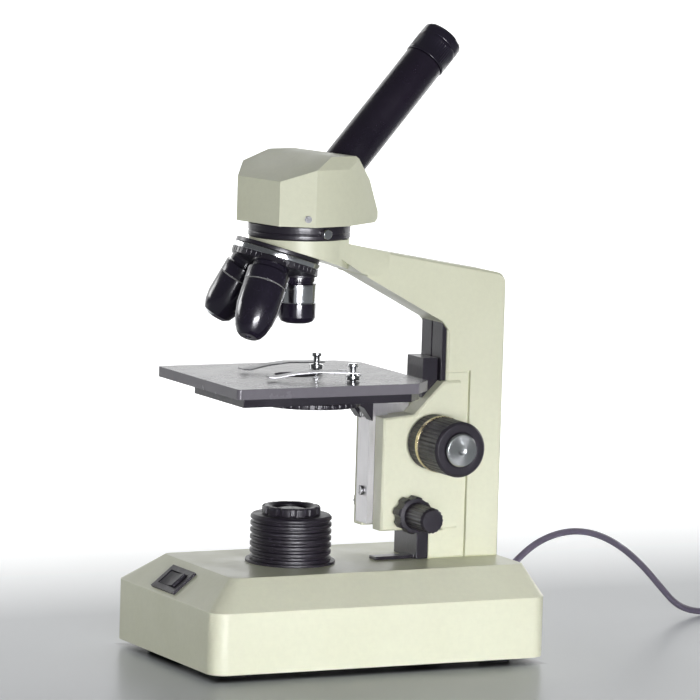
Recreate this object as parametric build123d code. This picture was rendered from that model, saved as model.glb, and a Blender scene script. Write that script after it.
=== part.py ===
from build123d import *
import math
import os

os.makedirs("parts", exist_ok=True)
for old in os.listdir("parts"):
    os.remove(os.path.join("parts", old))

# Monocular compound microscope. Millimetres. Origin: centre of the base's footprint, on the bench.
# +X runs from the switch end of the base to the arm, +Z is up.

# ---------------------------------------------------------------- driving dimensions
BASE_L, BASE_W, BASE_R = 215.0, 138.0, 10.0      # base length, width, corner radius
FOOT_H = 4.0                                     # rubber feet
BASE_Z1, BASE_Z2 = 39.5, 56.0                    # top of the vertical sides, top of the base
TOP_X0, TOP_X1, TOP_W = -87.0, 102.0, 96.0        # flat top of the base
WALL = 3.5
OPT_X = -27.5                                    # optical axis
LAMP_R, LAMP_Z0, LAMP_Z1 = 23.7, 57.5, 84.0      # ribbed lamp housing
RIB_PITCH, RIB_D = 4.0, 1.4
ARM_HW = 15.0                                    # half width of the arm
PIL_X0, PIL_X1 = 64.0, 101.5                      # pillar front and rear
ARM_Z = 246.0                                    # top of the arm's nose
BLK_X0, BLK_X1, BLK_HW = 22.0, 63.7, 18.3        # focusing block
BLK_Z0, BLK_Z1 = 74.0, 161.0
COARSE_X, COARSE_Z, COARSE_R = 53.0, 126.0, 16.2
FINE_X, FINE_Z = 39.5, 84.0
PINION_N, MODULE = 12, 1.0                       # pitch radius 6
STAGE_X0, STAGE_X1, STAGE_HW = -90.0, 37.0, 55.0
STAGE_Z0, STAGE_Z1, STAGE_Z2 = 154.5, 159.5, 165.5
DISC_X, DISC_Y, DISC_R = -27.5, -19.0, 30.0      # disc diaphragm
NOSE_TILT = 17.0                                 # nosepiece axis to the vertical
NOSE_APEX = (OPT_X, 0.0, 282.0)
SEAT_S = 59.0                                    # objective seats, from the apex
COLLAR_R, COLLAR_Z = 29.6, 254.5
HEAD_TURN = 12.0                                 # the head as it stands, about the optical axis
TUBE_R, TUBE_BORE = 12.0, 10.8
TUBE_S0, TUBE_S1, EYE_S = 38.0, 126.0, 146.0     # along the inclined tube axis
CORD_D = 4.0
CORD_LEN = 1800.0


def out(shape, name):
    export_step(shape, f"parts/{name}.step")


def box(x0, x1, y0, y1, z0, z1):
    return Pos((x0 + x1) / 2, (y0 + y1) / 2, (z0 + z1) / 2) * Box(x1 - x0, y1 - y0, z1 - z0)


def cyl(x, y, z0, z1, r):
    return Pos(x, y, (z0 + z1) / 2) * Cylinder(r, z1 - z0)


def ycyl(x, z, y0, y1, r):
    return Pos(x, (y0 + y1) / 2, z) * Rot(90, 0, 0) * Cylinder(r, abs(y1 - y0))


def prism_y(points, hw):
    """Closed polygon in the XZ plane, extruded to both sides."""
    face = Plane.XZ * make_face(Polyline(*points, close=True))
    return extrude(face, hw, both=True)


def prism_z(points, z0, z1):
    face = make_face(Polyline(*points, close=True))
    return Pos(0, 0, z0) * extrude(face, z1 - z0)


def lathe(points, plane):
    """Revolve a closed (radius, height) polygon about the plane's normal."""
    face = Plane.XZ * make_face(Polyline(*points, close=True))
    return plane * revolve(face, Axis.Z)


def at(origin, direction, xdir=None):
    return Plane(origin=origin, z_dir=direction, x_dir=xdir) if xdir else Plane(origin=origin, z_dir=direction)


# ---------------------------------------------------------------- base
sides = Pos(0, 0, FOOT_H) * extrude(RectangleRounded(BASE_L, BASE_W, BASE_R), BASE_Z1 - FOOT_H)
top_l, top_c = TOP_X1 - TOP_X0, (TOP_X0 + TOP_X1) / 2
band = loft([Pos(0, 0, BASE_Z1) * RectangleRounded(BASE_L, BASE_W, BASE_R),
             Pos(top_c, 0, BASE_Z2) * RectangleRounded(top_l, TOP_W, 5.0)], ruled=True)
housing = sides + band
housing -= Pos(0, 0, FOOT_H) * extrude(RectangleRounded(BASE_L - 2 * WALL, BASE_W - 2 * WALL, 7), 33)
housing -= box(-80, 88, -44, 44, 30, 52.5)
BOSS = [(sx * 96, sy * 57) for sx in (-1, 1) for sy in (-1, 1)]
for bx, by in BOSS:
    housing += cyl(bx, by, FOOT_H + 2.1, 39, 5) - cyl(bx, by, FOOT_H, 22, 1.5)
# arm pad and its two bolt holes, lamp wire hole, cord gland hole
ARM_BOLTS = [(81, -8), (81, 8)]
for bx, by in ARM_BOLTS:
    housing -= cyl(bx, by, 50, 58, 3.1)
housing -= cyl(OPT_X, 0, 50, 58, 5)
CORD_Y, CORD_Z = 6.0, 29.0
housing -= Pos(105, CORD_Y, CORD_Z) * Rot(0, 90, 0) * Cylinder(5.05, 14)

# switch frame set in the sloping front band
SL = (TOP_X0 + BASE_L / 2, BASE_Z2 - BASE_Z1)
SLN = math.hypot(*SL)
SW_UP = (SL[0] / SLN, 0, SL[1] / SLN)
SW_N = (-SL[1] / SLN, 0, SL[0] / SLN)
SW_T = 0.44
SW_C = (-BASE_L / 2 + SW_T * SL[0], 6.0, BASE_Z1 + SW_T * SL[1])
sw = Plane(origin=SW_C, x_dir=(0, 1, 0), z_dir=SW_N)      # x along Y, y along the slope (sign from the cross product)
housing -= sw * Pos(0, 0, -8) * Box(27.2, 15.2, 20)
out(housing, "base_housing")

plate = Pos(0, 0, FOOT_H) * extrude(RectangleRounded(BASE_L - 2 * WALL - 0.6, BASE_W - 2 * WALL - 0.6, 6.7), 2.0)
for bx, by in BOSS:
    plate -= cyl(bx, by, 3, 7, 1.6)
for k in range(5):
    plate -= box(-60 + k * 12, -55 + k * 12, -15, 15, 3, 7)
out(plate, "base_bottom_plate")

FEET = [(sx * 84, sy * 48) for sx in (-1, 1) for sy in (-1, 1)]
feet = [lathe([(0, 0), (8.5, 0), (10, 1.2), (10, FOOT_H), (0, FOOT_H)], Plane((fx, fy, 0))) for fx, fy in FEET]
out(Compound(children=feet), "rubber_feet")

screws = []
for bx, by in BOSS:
    s = cyl(bx, by, 2.4, FOOT_H, 3.0) + cyl(bx, by, FOOT_H, 16, 1.45)
    s -= box(bx - 2.6, bx + 2.6, by - 0.45, by + 0.45, 2.0, 3.2)
    s -= box(bx - 0.45, bx + 0.45, by - 2.6, by + 2.6, 2.0, 3.2)
    screws.append(s)
out(Compound(children=screws), "bottom_plate_screws")

bezel = Pos(0, 0, 0.8) * Box(30, 18, 1.6) + Pos(0, 0, -6) * Box(26.8, 14.8, 12)
bezel -= Pos(0, 0, -4) * Box(22.8, 11, 12)
bezel -= Pos(0, 0, -2) * Rot(90, 0, 0) * Cylinder(1.25, 20)
out(sw * bezel, "switch_bezel")
rock = extrude(Plane.XZ * make_face(Polyline((-10.3, 2.4), (-6, 1.7), (0, 1.3), (6, 1.7), (10.3, 2.4), (9.4, -3.6),
                                             (5, -6.4), (-5, -6.4), (-9.4, -3.6), close=True)), 5.1, both=True)
rock = Pos(0, 0, -2) * Rot(0, 6, 0) * Pos(0, 0, 2) * rock
rock += Pos(0, 0, -2) * Rot(90, 0, 0) * Cylinder(1.2, 14)
out(sw * rock, "switch_rocker")
print("switch centre", SW_C, "pivot", tuple(SW_C[i] - 2 * SW_N[i] for i in range(3)), "axis (local y)", tuple(sw.y_dir))

# ---------------------------------------------------------------- lamp
flange = cyl(OPT_X, 0, BASE_Z2, LAMP_Z0, LAMP_R + 2.5) - cyl(OPT_X, 0, 55, 58, 17)
out(flange, "lamp_flange")
prof = [(19, LAMP_Z0), (LAMP_R, LAMP_Z0)]
z = LAMP_Z0 + 1.8
while z < LAMP_Z1 - 3:
    prof += [(LAMP_R, z), (LAMP_R - RIB_D, z + 0.5), (LAMP_R - RIB_D, z + 1.7), (LAMP_R, z + 2.2)]
    z += RIB_PITCH
prof += [(LAMP_R, LAMP_Z1 - 1.2), (LAMP_R - 1.2, LAMP_Z1), (15, LAMP_Z1), (15, LAMP_Z1 - 3), (19, LAMP_Z1 - 3)]
out(lathe(prof, Plane((OPT_X, 0, 0))), "lamp_housing")
ring = lathe([(10.5, 78), (14.93, 78), (14.93, LAMP_Z1), (17, LAMP_Z1), (17, 88.2), (16.2, 89), (13.6, 89), (12.1, 87.6), (12.1, 81), (10.5, 81)],
             Plane((OPT_X, 0, 0)))
for k in range(12):
    a = math.radians(30 * k + 8)
    ring -= cyl(OPT_X + 18.0 * math.cos(a), 18.0 * math.sin(a), 84.8, 92, 2.0)
out(ring, "filter_ring")
out(lathe([(0, 81), (12, 81), (12, 84.2), (9.5, 85.8), (6.5, 87.0), (3.2, 87.7), (0, 87.9)], Plane((OPT_X, 0, 0))), "collector_lens")
out(lathe([(0, BASE_Z2), (12, BASE_Z2), (12, 62), (9, 64), (9, 68), (0, 68)], Plane((OPT_X, 0, 0))), "lamp_socket")
out(lathe([(0, 68), (4.6, 68), (4.6, 70.5), (5.2, 72), (5.2, 73.6), (4.2, 75.4), (2.2, 76.5), (0, 76.8)], Plane((OPT_X, 0, 0))), "lamp_bulb")

# ---------------------------------------------------------------- arm
ts, tc = math.sin(math.radians(NOSE_TILT)), math.cos(math.radians(NOSE_TILT))
N_DIR = (-ts, 0, -tc)


def on_axis(t):
    return (NOSE_APEX[0] + t * N_DIR[0], 0.0, NOSE_APEX[2] + t * N_DIR[2])


def plane_z(t, x):
    return NOSE_APEX[2] - (t + ts * (x - NOSE_APEX[0])) / tc


NOSE_T = 44.5
side = prism_y([(55.2, BASE_Z2), (PIL_X1, BASE_Z2), (PIL_X1, 223), (21, 237.6), (-7, 243.5), (-7, ARM_Z), (OPT_X, ARM_Z),
                (OPT_X, 226), (-12, 235), (60, 196), (PIL_X0, 191), (PIL_X0, 72.5), (55.2, 72.5)], ARM_HW)
side = fillet(side.edges().filter_by(Axis.Y).sort_by_distance((PIL_X1, 0, 223))[0], 7)
side = chamfer([e for e in side.edges() if abs(abs(e.center().Y) - ARM_HW) < 0.01 and e.center().X > 62 and e.length > 20], 1.2)
nose = cyl(OPT_X, 0, 224, ARM_Z, 29)
web = prism_z([(OPT_X, -28.8), (OPT_X + 14, -25.2), (24, -ARM_HW), (24, ARM_HW), (OPT_X + 14, 25.2), (OPT_X, 28.8)], 224, ARM_Z)
web &= prism_y([(-60, 226), (-60, ARM_Z), (-7, ARM_Z), (-7, 243.5), (24, 236.9), (24, 214.5), (-12, 235), (-12, 226)], 40)
arm = side + nose + web
cutter = at(on_axis(NOSE_T + 20), N_DIR) * Box(110, 90, 40)
arm -= cutter & box(-100, 8, -60, 60, 150, 260)
arm -= cyl(OPT_X, 0, 200, 250, 9)
arm -= box(60.9, PIL_X0, -13.02, 13.02, 150, 202.05)
for s in (-1, 1):        # parting groove of the focusing column
    arm -= Pos(78.8, s * 15.5, 110.5) * Box(1.6, 6, 111)
    arm -= Pos(70.0, s * 15.5, 166.0) * Box(19.2, 4, 1.0)
for bx, by in ARM_BOLTS:
    arm -= cyl(bx, by, 55, 76, 2.55)
out(arm, "arm")
bolts = [cyl(bx, by, 48.0, 52.5, 5) - cyl(bx, by, 47, 50.5, 2.4) + cyl(bx, by, 52.5, 74, 2.5) for bx, by in ARM_BOLTS]
out(Compound(children=bolts), "arm_bolts")
out(box(47.6, 55.2, -14.5, 14.5, BASE_Z2, 72.0) + box(22, 48, -12, -4, BASE_Z2, 58.0), "foot_cover")
strip = box(61, PIL_X0, -13, 13, 76, 202)
strip -= box(60, 62.2, -0.8, 0.8, 70, 210)
out(strip, "guide_strip")

# ---------------------------------------------------------------- focusing block
block = prism_y([(BLK_X0, BLK_Z0), (72, BLK_Z0), (72, BLK_Z1), (61, BLK_Z1), (50, 150), (42, 142), (BLK_X0, 140.5)], BLK_HW)
block = chamfer([e for e in block.edges() if abs(abs(e.center().Y) - BLK_HW) < 0.01 and e.center().X < 71], 1.2)
block -= box(BLK_X1, 80, -ARM_HW - 0.3, ARM_HW + 0.3, 70, 170)
block -= box(60.7, BLK_X1 + 1, -13.3, 13.3, 70, 170)
block -= box(21, 30.3, -7.3, 7.3, 70, 170)
block -= box(29, COARSE_X - 5.1, -3.4, 3.4, 92, 170)
block -= ycyl(COARSE_X, COARSE_Z, -4.5, 4.5, 8)
block -= ycyl(COARSE_X, COARSE_Z, -30, 30, 4.05)
block -= ycyl(FINE_X, FINE_Z, -30, 30, 3.05)
out(block, "focus_block")
cap = box(50.5, 60.2, -10, 10, BLK_Z1, 174) + prism_y([(50.5, 150.7), (60.5, 160.7), (60.5, BLK_Z1), (50.5, BLK_Z1)], 10)
out(cap, "slide_stop")
washers = [ycyl(COARSE_X, COARSE_Z, s * BLK_HW, s * (BLK_HW + 1.2), 9) - ycyl(COARSE_X, COARSE_Z, -30, 30, 4.2) for s in (-1, 1)]
out(Compound(children=washers), "coarse_tension_washers")

# rack slide and its pinion (module 1, 12 teeth, short addendum)
KNOB_Y = {-1: 56.0, 1: 47.0}                       # outer ends of the coarse knobs, the left one is shorter
FINE_Y = {-1: 50.0, 1: 40.0}
RP = PINION_N * MODULE / 2
RACK_X = COARSE_X - RP
bar = box(18, 30, -7, 7, 77, STAGE_Z0)
web_r = box(29.9, RACK_X - 1.3, -3, 3, 108, 147)
teeth = []
pitch = math.pi * MODULE
for k in range(-5, 6):
    zc = COARSE_Z + (k + 0.5) * pitch
    hw_root, hw_tip = 0.95, 0.42
    teeth.append(prism_y([(RACK_X - 1.4, zc - hw_root), (RACK_X + 0.7, zc - hw_tip), (RACK_X + 0.7, zc + hw_tip), (RACK_X - 1.4, zc + hw_root)], 3))
slide = bar + web_r
for t in teeth:
    slide += t
for z0 in (96, 142):
    slide -= Pos(19, 0, z0) * Rot(0, 90, 0) * Cylinder(1.6, 8)
out(slide, "stage_slide")
slide_screws = []
for z0 in (96, 142):
    s = Pos(17.2, 0, z0) * Rot(0, 90, 0) * Cylinder(2.8, 1.6) + Pos(20.2, 0, z0) * Rot(0, 90, 0) * Cylinder(1.55, 4.6)
    s -= box(16, 17.1, -0.4, 0.4, z0 - 3, z0 + 3)
    slide_screws.append(s)

rb = RP * math.cos(math.radians(20))


def involute_tooth(thick, r_tip, r_root):
    inv = lambda a: math.tan(a) - a
    half = thick / (2 * RP) + inv(math.radians(20))
    pts = []
    rr = [rb + (r_tip - rb) * i / 5 for i in range(6)]
    for r in rr:
        a = math.acos(min(1.0, rb / r))
        pts.append((r, half - inv(a)))
    left = [(r_root - 0.6, pts[0][1])] + pts
    return [(r * math.cos(t), r * math.sin(t)) for r, t in left] + [(r * math.cos(-t), r * math.sin(-t)) for r, t in reversed(left)]


pinion2d = Circle(RP - 1.2)
for k in range(PINION_N):
    poly = make_face(Polyline(*involute_tooth(1.15, RP + 0.85, RP - 1.2), close=True))
    pinion2d += Rot(0, 0, 360 / PINION_N * k) * poly
pin = Rot(90, 0, 0) * extrude(pinion2d, 4.0, both=True)
shaft = ycyl(0, 0, -KNOB_Y[-1] + 0.6, KNOB_Y[1] - 0.6, 4)
out(Pos(COARSE_X, 0, COARSE_Z) * (pin + shaft), "coarse_pinion_shaft")


def coarse_knob(s):
    ye = KNOB_Y[s]
    body = lathe([(4.02, 19.8), (COARSE_R - 0.8, 19.8), (COARSE_R, 20.6), (COARSE_R, 30.0), (14.6, 30.0), (14.6, 33.0), (COARSE_R, 33.0), (COARSE_R, ye - 1.6),
                  (COARSE_R - 1.6, ye), (9.9, ye), (9.9, ye - 1.5), (4.02, ye - 1.5)], at((COARSE_X, 0, COARSE_Z), (0, s, 0)))
    flutes = []
    for k in range(36):
        a = math.radians(10 * k)
        fr = COARSE_R + 0.35
        flutes.append(Pos(COARSE_X + fr * math.cos(a), s * (ye + 31.0) / 2, COARSE_Z + fr * math.sin(a)) * Rot(90, 0, 0) * Cylinder(0.8, ye - 38.0))
        flutes.append(Pos(COARSE_X + fr * math.cos(a), s * 25.2, COARSE_Z + fr * math.sin(a)) * Rot(90, 0, 0) * Cylinder(0.8, 7.6))
    return body - flutes


rings, caps = [], []
for s, nm in ((-1, "right"), (1, "left")):
    out(coarse_knob(s), f"coarse_knob_{nm}")
    pl = at((COARSE_X, 0, COARSE_Z), (0, s, 0))
    rings.append(lathe([(14.62, 30.0), (COARSE_R + 0.4, 30.0), (COARSE_R + 0.4, 33.0), (14.62, 33.0)], pl))
    ye = KNOB_Y[s]
    caps.append(lathe([(0, ye - 0.5), (4.0, ye - 0.5), (4.0, ye - 1.4), (9.8, ye - 1.4), (9.8, ye + 1.2), (9.0, ye + 2), (0, ye + 2)], pl))
out(Compound(children=rings), "coarse_knob_rings")
out(Compound(children=caps), "coarse_knob_caps")

out(ycyl(FINE_X, FINE_Z, -FINE_Y[-1] + 3, FINE_Y[1] - 3, 3), "fine_shaft")
for s, nm in ((-1, "right"), (1, "left")):
    pl = at((FINE_X, 0, FINE_Z), (0, s, 0))
    fe = FINE_Y[s]
    k1 = lathe([(3.02, 19.5), (11, 19.5), (11, 27.5), (10, 28.5), (7.5, 28.5), (7.5, fe - 1.4), (6.1, fe), (0, fe), (0, fe - 2.8), (3.02, fe - 2.8)], pl)
    cuts = []
    for k in range(8):
        a = math.radians(45 * k + 10)
        cuts.append(Pos(FINE_X + 12.6 * math.cos(a), s * 24, FINE_Z + 12.6 * math.sin(a)) * Rot(90, 0, 0) * Cylinder(2.9, 12))
    for k in range(18):
        a = math.radians(20 * k)
        cuts.append(Pos(FINE_X + 7.8 * math.cos(a), s * (fe + 30) / 2, FINE_Z + 7.8 * math.sin(a)) * Rot(90, 0, 0) * Cylinder(0.6, fe - 34))
    out(k1 - cuts, f"fine_knob_{nm}")

# ---------------------------------------------------------------- stage
stage = prism_z([(STAGE_X0, -STAGE_HW), (25, -STAGE_HW), (STAGE_X1, -43), (STAGE_X1, 43), (25, STAGE_HW), (STAGE_X0, STAGE_HW)], STAGE_Z1, STAGE_Z2)
stage = fillet([e for e in stage.edges().filter_by(Axis.Z)], 2.5)
stage -= cyl(OPT_X, 0, 150, 170, 12)
CLIPS = {"right": (-7.0, -33.5, -14.0), "left": (-5.0, 18.0, 3.0)}     # x, y, leaf angle
for cx, cy, ca in CLIPS.values():
    stage -= cyl(cx, cy, 150, 170, 2.05)
out(stage, "stage_plate")
under = prism_z([(-85, -52), (22, -52), (32, -42), (32, 42), (22, 52), (-63, 52), (-85, 14)], STAGE_Z0, STAGE_Z1)
under -= cyl(OPT_X, 0, 150, 170, 10)
for cx, cy, ca in CLIPS.values():
    under -= cyl(cx, cy, 150, 170, 4.5)
under -= cyl(DISC_X, DISC_Y, 150, 158, 2.0)
out(under, "stage_under_plate")
br = prism_y([(4, STAGE_Z0), (4, 150), (12, 146), (18, 138), (18, STAGE_Z0)], 12)
br -= box(10, 19, -3.3, 3.3, 130, 148.5)
out(br, "stage_bracket")
st_screws = list(slide_screws)
for sx, sy in ((8, -9), (8, 9)):
    st_screws.append(cyl(sx, sy, STAGE_Z2, STAGE_Z2 + 0.5, 2.6) - box(sx - 2, sx + 2, sy - 0.35, sy + 0.35, STAGE_Z2 + 0.2, STAGE_Z2 + 1))
out(Compound(children=st_screws), "stage_screws")
disc = cyl(DISC_X, DISC_Y, 151, 153.8, DISC_R) - cyl(DISC_X, DISC_Y, 150, 155, 2.05)
for k, r in enumerate((8.0, 6.5, 5.0, 3.5, 2.0)):
    a = math.radians(90 + 72 * k)
    disc -= cyl(DISC_X + 19 * math.cos(a), DISC_Y + 19 * math.sin(a), 150, 155, r)
for k in range(40):
    a = math.radians(9 * k)
    disc -= cyl(DISC_X + 30.6 * math.cos(a), DISC_Y + 30.6 * math.sin(a), 150, 155, 1.1)
out(disc, "disc_diaphragm")
dp = cyl(DISC_X, DISC_Y, 150.7, 157.5, 1.98) + cyl(DISC_X, DISC_Y, 149.4, 150.7, 4.2)
out(dp, "diaphragm_pivot")


def clip(cx, cy):
    """Turning post of a spring clip."""
    return cyl(cx, cy, 158.5, 175.5, 2.0) + cyl(cx, cy, 166.1, 168.6, 4.0) + cyl(cx, cy, 173.4, 175.5, 2.9)


def leaf(cx, cy, ca):
    """Leaf that arches from its post towards the specimen."""
    pts = [(3.5, 169.8), (-4, 169.9), (-20, 170.4), (-34, 169.2), (-46, 167.0), (-50, 167.4),
           (-50, 168.2), (-46, 167.8), (-34, 170.0), (-20, 171.2), (-4, 170.7), (3.5, 170.6)]
    lf = prism_y(pts, 4.0)
    lf = Pos(cx, cy, 0) * Rot(0, 0, ca) * lf
    return lf - cyl(cx, cy, 160, 172, 2.02)


for nm, (cx, cy, ca) in CLIPS.items():
    out(clip(cx, cy), f"clip_post_{nm}")
    out(leaf(cx, cy, ca), f"clip_leaf_{nm}")

# ---------------------------------------------------------------- nosepiece
ax = at(NOSE_APEX, N_DIR, (0, 1, 0))
mount = lathe([(0, NOSE_T), (25, NOSE_T), (25, 47), (3, 47), (3, 59.0), (0, 59.0)], ax)
mount -= cyl(OPT_X, 0, 225, 250, 8)
out(mount, "nosepiece_mount")
out(lathe([(24.8, 47.3), (26.2, 47.3), (26.2, 50.3), (24.8, 50.3)], ax), "nosepiece_ring")
turret = lathe([(3.06, 47.3), (24.8, 47.3), (24.8, 50.3), (25.6, 50.3), (25.6, 53.8), (8, 59.2), (3.06, 59.2)], ax)
AZ = {"4x": 0.0, "40x": 120.0, "10x": 240.0}      # about the nosepiece axis, from the active position
OBJ = {}
for nm, a in AZ.items():
    c, s_ = math.cos(math.radians(a)), math.sin(math.radians(a))
    # basis across the axis: e1 points to the active position, e2 to the near side
    e1 = (tc, 0.0, -ts)
    e2 = (0.0, -1.0, 0.0)
    rad = [e1[i] * c + e2[i] * s_ for i in range(3)]
    OBJ[nm] = tuple(tc * N_DIR[i] + ts * rad[i] for i in range(3))
    turret += lathe([(0, 56.2), (11.4, 56.2), (11.4, SEAT_S), (0, SEAT_S)], at(NOSE_APEX, OBJ[nm]))
for nm, d in OBJ.items():
    turret -= lathe([(0, 45), (7.5, 45), (7.5, SEAT_S + 1), (0, SEAT_S + 1)], at(NOSE_APEX, d))
turret &= lathe([(0, 47.3), (60, 47.3), (60, 100), (0, 100)], ax)
turret -= lathe([(0, 40), (3.06, 40), (3.06, 70), (0, 70)], ax)
for k in range(48):
    a = math.radians(7.5 * k)
    turret -= ax * Pos(25.9 * math.cos(a), 25.9 * math.sin(a), 52.05) * Cylinder(0.6, 3.0)
out(turret, "nosepiece_turret")
out(lathe([(0, 59.0), (3.0, 59.0), (3.0, 59.5), (5.5, 59.5), (5.5, 61.2), (4.6, 62), (0, 62)], ax) - ax * Pos(0, 0, 62) * Box(9, 1.0, 1.4), "nosepiece_screw")
print("objective directions", OBJ)

PROFILE = {      # (distance from the apex, radius)
    "4x": [(59, 9.8), (62, 9.8), (62, 9.2), (63, 9.2), (63, 10.9), (82.6, 10.9), (85.0, 9.6), (86.0, 7.5)],
    "10x": [(59, 10.2), (62, 10.2), (62, 9.4), (63, 9.4), (63, 11.6), (84, 11.6), (90, 10.6), (94.5, 8.6), (96.5, 6.4)],
    "40x": [(59, 10.4), (62, 10.4), (62, 9.6), (63, 9.6), (63, 12.5), (86, 12.5), (93, 11.2), (99, 9.2), (102, 7.4), (103.5, 5.4)],
}
LENS = {"4x": (86.0, 4.0), "10x": (96.5, 3.2), "40x": (103.5, 1.8)}
for nm, d in OBJ.items():
    tip, lr = LENS[nm]
    pts = [(3.0, 51.5), (7.2, 51.5), (7.2, SEAT_S)] + [(r, s_) for s_, r in PROFILE[nm]]
    pts += [(lr, tip), (lr, tip - 3), (3.0, tip - 3)] if lr > 3.0 else [(lr, tip), (lr, tip - 2.5), (3.0, tip - 4.5)]
    out(lathe(pts, at(NOSE_APEX, d)), f"objective_{nm}")
lenses = []
for nm, d in OBJ.items():
    tip, lr = LENS[nm]
    lenses.append(lathe([(0, tip - 2.4), (lr - 0.02, tip - 2.4), (lr - 0.02, tip - 0.9), (0, tip - 0.6)], at(NOSE_APEX, d)))
out(Compound(children=lenses), "objective_lenses")

# ---------------------------------------------------------------- head
out(lathe([(20, ARM_Z), (COLLAR_R - 0.8, ARM_Z), (COLLAR_R, ARM_Z + 0.8), (COLLAR_R, COLLAR_Z - 0.8), (COLLAR_R - 0.8, COLLAR_Z), (20, COLLAR_Z)], Plane((OPT_X, 0, 0)))
    - Pos(OPT_X, 0, 250.3) * Rot(0, 0, -86) * Pos(26, 0, 0) * Rot(0, 90, 0) * Cylinder(2.0, 16), "head_collar")
ls = Pos(OPT_X, 0, 250.3) * Rot(0, 0, -86) * (Pos(26.4, 0, 0) * Rot(0, 90, 0) * Cylinder(1.95, 9.2) + Pos(31.6, 0, 0) * Rot(0, 90, 0) * Cylinder(2.8, 3.4))
out(ls, "head_lock_screw")

HP = Pos(OPT_X, 0, 0) * Rot(0, 0, HEAD_TURN)


def hprism(points, hw):
    return prism_y(points, hw)


HB = 254.8
body = prism_y([(-30.5, HB), (38, HB), (41, 257), (41, 261), (31, 280), (17, 294.5), (-1, 294.5), (-30.5, 280.5)], 35)
plan = prism_z([(-30.5, -20), (-15.5, -35), (8, -35), (41, -21), (41, 21), (8, 35), (-15.5, 35), (-30.5, 20)], 250, 300)
drafted = Plane.YZ * make_face(Polyline((-35, HB - 5), (-35, 287.5), (-29, 295), (29, 295), (35, 287.5), (35, HB - 5), close=True))
body &= plan & extrude(drafted, 60, both=True)
es = [e for e in body.edges() if e.center().Z > 262]
try:
    body = chamfer(es, 1.0)
except Exception as err:
    print("head left with its plain edges:", err)
body += cyl(0, 0, 247.0, HB + 1, 19.94)
A45 = (math.sin(math.radians(45)), 0, math.cos(math.radians(45)))
tube_pl = Plane(origin=(0, 0, 256), z_dir=A45, x_dir=(0, 1, 0))
body -= cyl(0, 0, 240, 266, 11)
body -= box(-14, 15, -13, 13, 262, 279)
body -= tube_pl * Pos(0, 0, 60) * Cylinder(TUBE_R + 0.02, 60)
out(HP * body, "head_housing")
out(HP * prism_y([(-13.5, 266.3), (12, 266.3), (-6, 278.5), (-13.5, 278.5)], 12.5), "prism")
tube = tube_pl * Pos(0, 0, (TUBE_S0 + TUBE_S1) / 2) * (Cylinder(TUBE_R, TUBE_S1 - TUBE_S0) - Cylinder(TUBE_BORE, TUBE_S1 - TUBE_S0 + 2))
out(HP * tube, "eyepiece_tube")
eye = lathe([(9.3, 108), (10.74, 108), (10.74, TUBE_S1 + 0.3), (12.6, TUBE_S1 + 0.3), (12.6, EYE_S - 0.8), (11.8, EYE_S), (8.0, EYE_S), (7.2, EYE_S - 1.8), (7.2, 136), (9.3, 134)], tube_pl)
out(HP * eye, "eyepiece")
out(HP * lathe([(0, 137), (7.15, 137), (7.15, 139.5), (4.9, 141.1), (0, 142)], tube_pl), "eye_lens")
out(HP * lathe([(0, 110), (9.25, 110), (9.25, 112), (5, 113.8), (0, 114.4)], tube_pl), "field_lens")
scr = []
for s in (-1, 1):
    p = Plane(origin=(-18.5, s * 32.0, 259.5), z_dir=(-1, s * 1, 0))
    scr.append(HP * (p * (Pos(0, 0, 0.5) * Cylinder(2.0, 1.0)) - p * Pos(0, 0, 1.0) * Box(3.2, 0.6, 0.8)))
out(Compound(children=scr), "head_screws")

# ---------------------------------------------------------------- cord
R = CORD_D / 2
ROUTE = [(121.0, 9.6, 41.6), (133.0, 13.0, 51.0), (150.0, 17.8, 59.0), (171.0, 23.6, 62.0), (192.0, 29.5, 58.5), (212.0, 35.0, 49.5),
         (231.0, 40.3, 36.0), (247.0, 44.6, 21.0), (261.0, 48.3, 8.0), (277.0, 51.6, 2.3), (294.0, 52.4, 2.15), (310.0, 50.4, 2.0)]
V = [Vector(*p) for p in ROUTE]
radii = []
for i in range(1, len(V) - 1):
    a, b = V[i] - V[i - 1], V[i + 1] - V[i]
    turn = math.radians(a.get_angle(b))
    radii.append(0.45 * min(a.length, b.length) / math.tan(turn / 2))
print("cord radii", [round(r, 1) for r in radii])
print("cord runs", [round((V[i + 1] - V[i]).length, 1) for i in range(len(V) - 1)])
path = FilletPolyline(*V, radius=radii)
print("cord path", path.length)
start = V[0]
sec = Plane(origin=start, z_dir=(V[1] - V[0])) * Circle(R)
tube_c = sweep(sec, path=path)
print("cord volume / section x length", tube_c.volume / (math.pi * R * R * path.length))
out(tube_c, "power_cord")
GL0 = (BASE_L / 2 - 6, CORD_Y, CORD_Z)
d0 = V[1] - V[0]
d0 = d0 / d0.length
relief_end = V[0]
relief = Pos(BASE_L / 2 - 1.0, CORD_Y, CORD_Z) * Rot(0, 90, 0) * Cylinder(5.0, 14)
taper = loft([Plane(origin=(BASE_L / 2 + 1.5, CORD_Y, CORD_Z), z_dir=(0.95, 0.1, 0.25)) * Circle(5.0),
              Plane(origin=(BASE_L / 2 + 8, CORD_Y + 1.6, CORD_Z + 6.0), z_dir=(0.76, 0.2, 0.62)) * Circle(3.9),
              Plane(origin=tuple(relief_end), z_dir=tuple(d0)) * Circle(2.7)])
relief += taper
out(relief, "strain_relief")
COIL_R, COIL_B, COIL_H = 23.0, 8.0, 12.0         # middle radius, half width of the bundle, height
end = V[-1]
ed = V[-1] - V[-2]
ed = Vector(ed.X, ed.Y, 0).normalized()
nrm = Vector(ed.Y, -ed.X, 0)
coil_c = end + ed * 11.0 + nrm * (COIL_R + COIL_B - R)
print("coil centre", coil_c, "turns", (CORD_LEN - path.length) / (2 * math.pi * COIL_R))
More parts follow.
